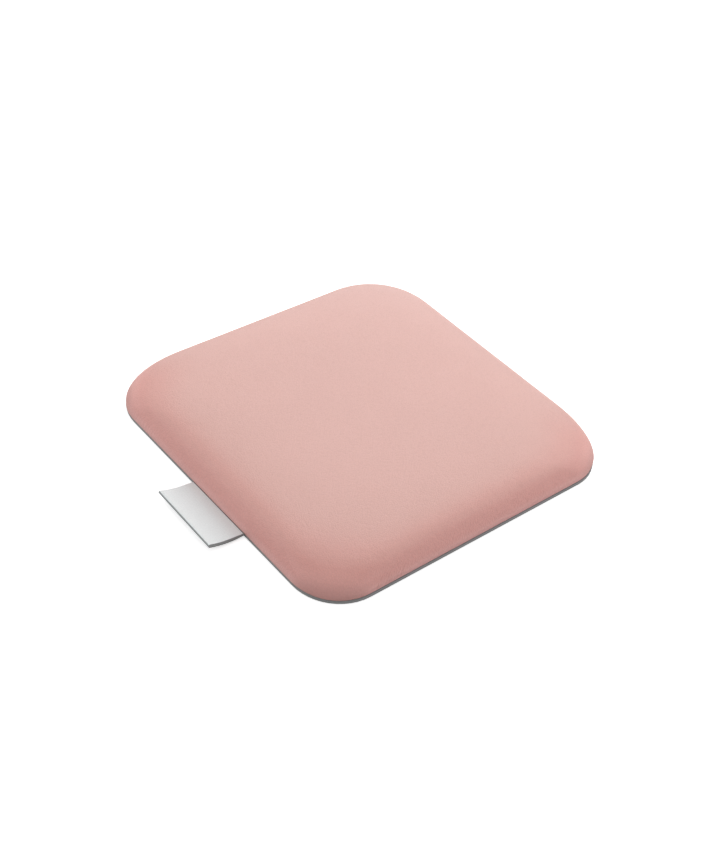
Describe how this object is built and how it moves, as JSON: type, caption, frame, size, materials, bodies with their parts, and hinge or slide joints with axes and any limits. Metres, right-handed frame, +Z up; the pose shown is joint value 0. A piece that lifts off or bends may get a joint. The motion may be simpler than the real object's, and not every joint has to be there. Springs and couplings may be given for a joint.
{
  "type": "manicure hand rest",
  "caption": "Square, softly domed manicure hand rest: pink artificial leather over foam on a board, with a grey base sheet and a bare folded label at the front.",
  "frame": {"origin": "centre of the grey base sheet's underside, where the pad rests", "axes": "+Z up, -Y towards the side that the label stands out of, +X to the right as seen from the label"},
  "size_m": [0.18, 0.199, 0.019],
  "materials": {
    "cover": "satin artificial leather with a fine pebble grain",
    "foam": "open-cell upholstery foam, matt",
    "board": "hardboard, smooth and unpainted",
    "base_sheet": "dense grey sheet with a fine matt surface",
    "label": "white woven satin ribbon with a grey fold and underside, bare",
    "staples": "galvanised flat wire"
  },
  "bodies": {
    "root": {"cover": "cover", "foam_pad": "foam", "board": "board", "base_sheet": "base_sheet", "label": "label", "staple_front_1": "staples", "staple_front_2": "staples", "staple_front_3": "staples", "staple_front_4": "staples", "staple_front_5": "staples", "staple_right_1": "staples", "staple_right_2": "staples", "staple_right_3": "staples", "staple_right_4": "staples", "staple_right_5": "staples", "staple_back_1": "staples", "staple_back_2": "staples", "staple_back_3": "staples", "staple_back_4": "staples", "staple_back_5": "staples", "staple_left_1": "staples", "staple_left_2": "staples", "staple_left_3": "staples", "staple_left_4": "staples", "staple_left_5": "staples", "staple_corner_1": "staples", "staple_corner_2": "staples", "staple_corner_3": "staples", "staple_corner_4": "staples"}
  },
  "joints": []
}
